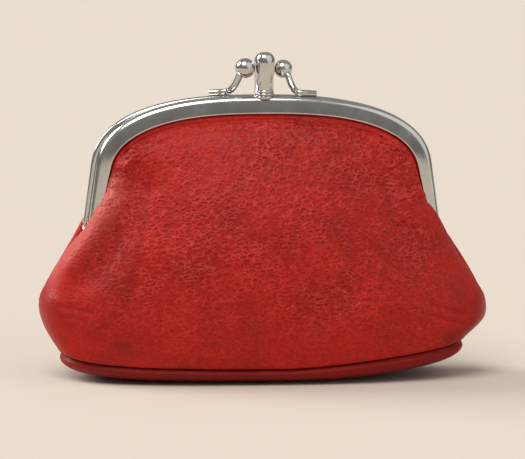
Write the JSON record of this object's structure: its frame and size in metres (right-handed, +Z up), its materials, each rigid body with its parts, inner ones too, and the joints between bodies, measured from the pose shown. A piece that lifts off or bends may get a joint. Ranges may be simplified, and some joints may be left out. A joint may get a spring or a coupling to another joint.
{
  "type": "kiss-lock coin purse",
  "caption": "Kiss-lock coin purse: a soft red leather pouch with a rounded base, on an arched metal frame whose hinged halves swing apart and snap shut with a ball clasp.",
  "frame": {"origin": "on the table, under the middle of the base", "axes": "+X to the right along the frame's width, +Y from the front to the rear, +Z up"},
  "size_m": [0.1314, 0.0464, 0.0953],
  "materials": {
    "nickel": "polished nickel plate on steel",
    "red_leather": "pebbled, semi-gloss, with darker smudges",
    "base_leather": "smooth, semi-gloss",
    "seam_thread": "twisted thread",
    "lining_cloth": "plain weave",
    "card": "plain fibre card",
    "paper_cord": "twisted paper"
  },
  "bodies": {
    "bag": {"base_panel": "base_leather", "base_board": "card", "base_lining": "lining_cloth", "base_seam_thread": "seam_thread", "left_side_seam_thread": "seam_thread", "right_side_seam_thread": "seam_thread", "front_panel": "red_leather", "rear_panel": "red_leather", "front_stiffener": "card", "rear_stiffener": "card", "front_lining": "lining_cloth", "rear_lining": "lining_cloth"},
    "front_half": {"front_frame": "nickel", "front_packing_cord": "paper_cord", "right_hinge_rivet": "nickel", "front_post": "nickel", "front_post_collar": "nickel", "front_clasp_arm": "nickel", "front_clasp_ball": "nickel"},
    "rear_half": {"rear_frame": "nickel", "rear_packing_cord": "paper_cord", "left_hinge_rivet": "nickel", "rear_post": "nickel", "rear_clasp_arm": "nickel", "rear_clasp_ball": "nickel"}
  },
  "joints": [
    {"name": "front_open", "type": "hinge", "parent": "bag", "child": "front_half", "pos_m": [0, 0, 0.0415], "axis": [1, 0, 0], "range_deg": [0, 45], "deforming": ["front_panel", "front_lining"]},
    {"name": "rear_open", "type": "hinge", "parent": "bag", "child": "rear_half", "pos_m": [0, 0, 0.0415], "axis": [1, 0, 0], "range_deg": [-45, 0], "deforming": ["rear_panel", "rear_lining"]}
  ],
  "couplings": [
    {"joint": "rear_open", "follows": "front_open", "ratio": -1}
  ]
}
